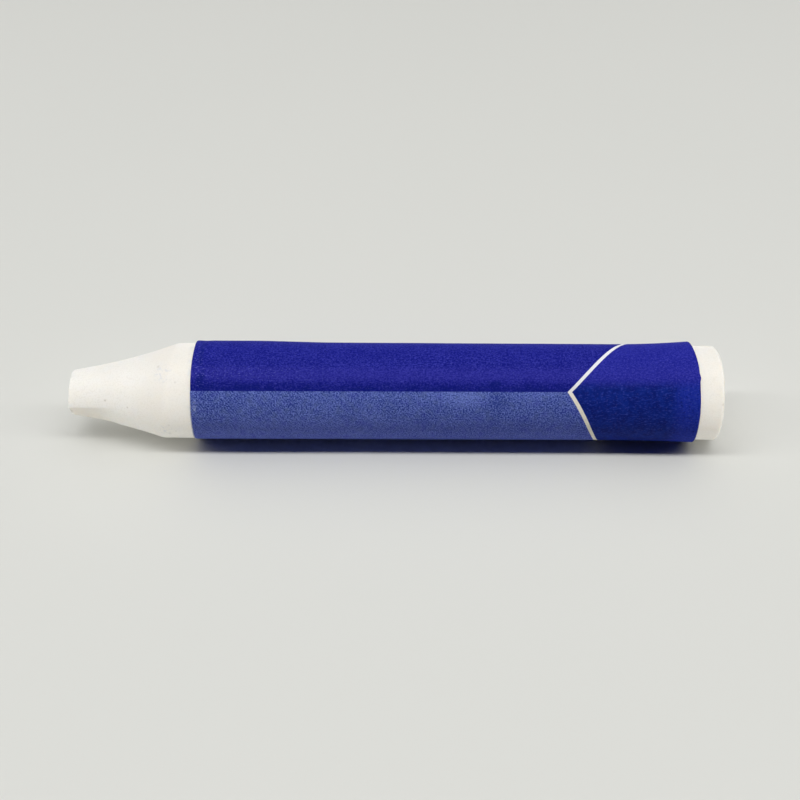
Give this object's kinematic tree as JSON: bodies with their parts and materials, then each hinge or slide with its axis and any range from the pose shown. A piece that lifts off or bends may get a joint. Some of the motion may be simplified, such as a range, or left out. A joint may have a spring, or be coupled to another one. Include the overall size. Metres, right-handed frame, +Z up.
{
  "type": "wax crayon",
  "caption": "Thick round wax crayon with a blunt tapered drawing tip and a flat butt, in a rolled printed paper sleeve that slides along the stick.",
  "frame": {"origin": "on the surface that the crayon lies on, under the middle of its length", "axes": "+X along the crayon from the drawing face to the butt, +Z up, +Y away from the viewer of the picture"},
  "size_m": [0.1, 0.0154, 0.0157],
  "materials": {
    "wax": "satin",
    "printed_paper": "satin",
    "dry_paste": "matte"
  },
  "bodies": {
    "stick": {"wax_stick": "wax"},
    "sleeve": {"paper_sleeve": "printed_paper", "lap_paste": "dry_paste"}
  },
  "joints": [
    {"name": "sleeve_slide", "type": "slide", "parent": "stick", "child": "sleeve", "axis": [1, 0, 0], "range_m": [-0.004, 0.082]}
  ]
}
